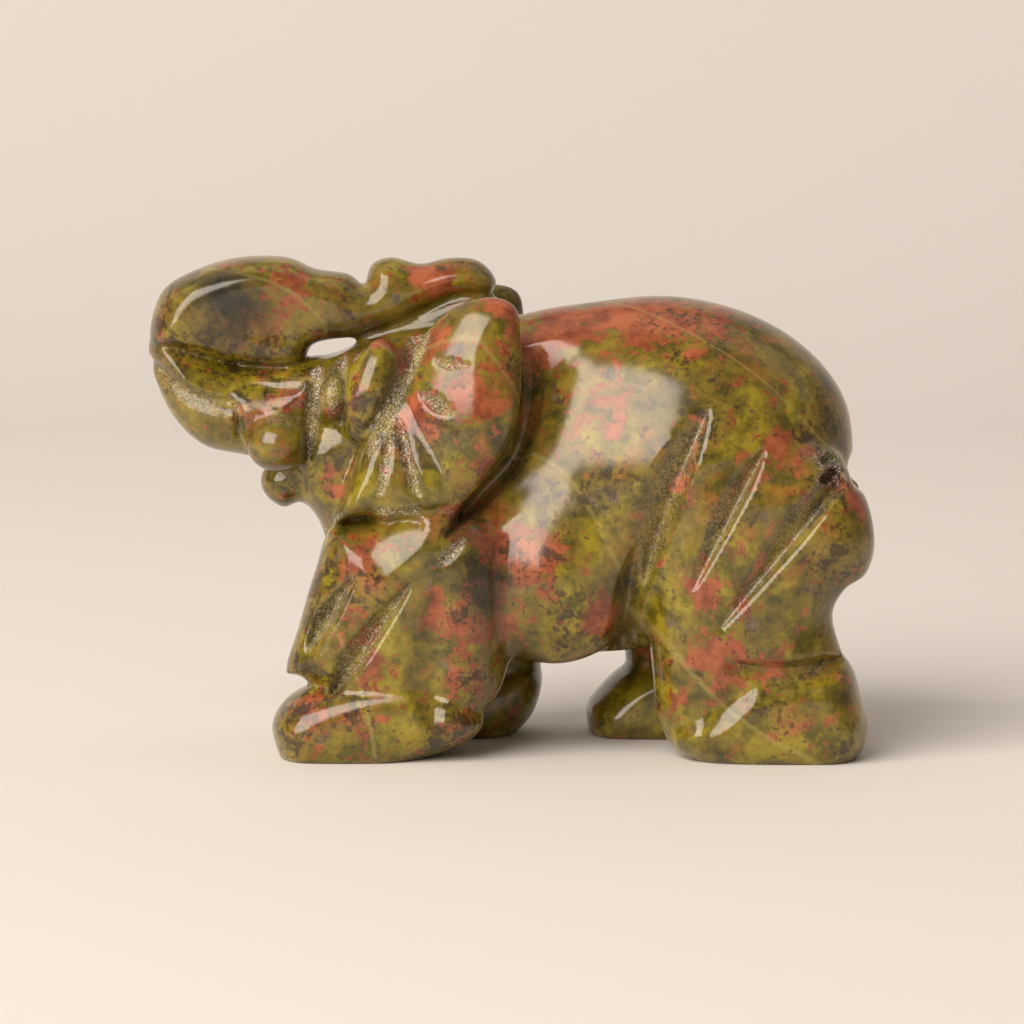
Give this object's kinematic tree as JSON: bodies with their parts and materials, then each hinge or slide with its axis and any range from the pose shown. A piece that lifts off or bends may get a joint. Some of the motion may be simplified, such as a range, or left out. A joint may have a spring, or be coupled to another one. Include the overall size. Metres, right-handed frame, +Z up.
{
  "type": "carved stone elephant",
  "caption": "Small polished stone elephant figure, standing, with its trunk raised and folded back over its head.",
  "frame": {"origin": "middle of the figure's box, on the plane of its soles", "axes": "+X from the trunk to the rump, +Y to the animal's right side, +Z up"},
  "size_m": [0.05, 0.0202, 0.034],
  "materials": {
    "unakite": "polished"
  },
  "bodies": {
    "root": {"carved_elephant": "unakite"}
  },
  "joints": []
}
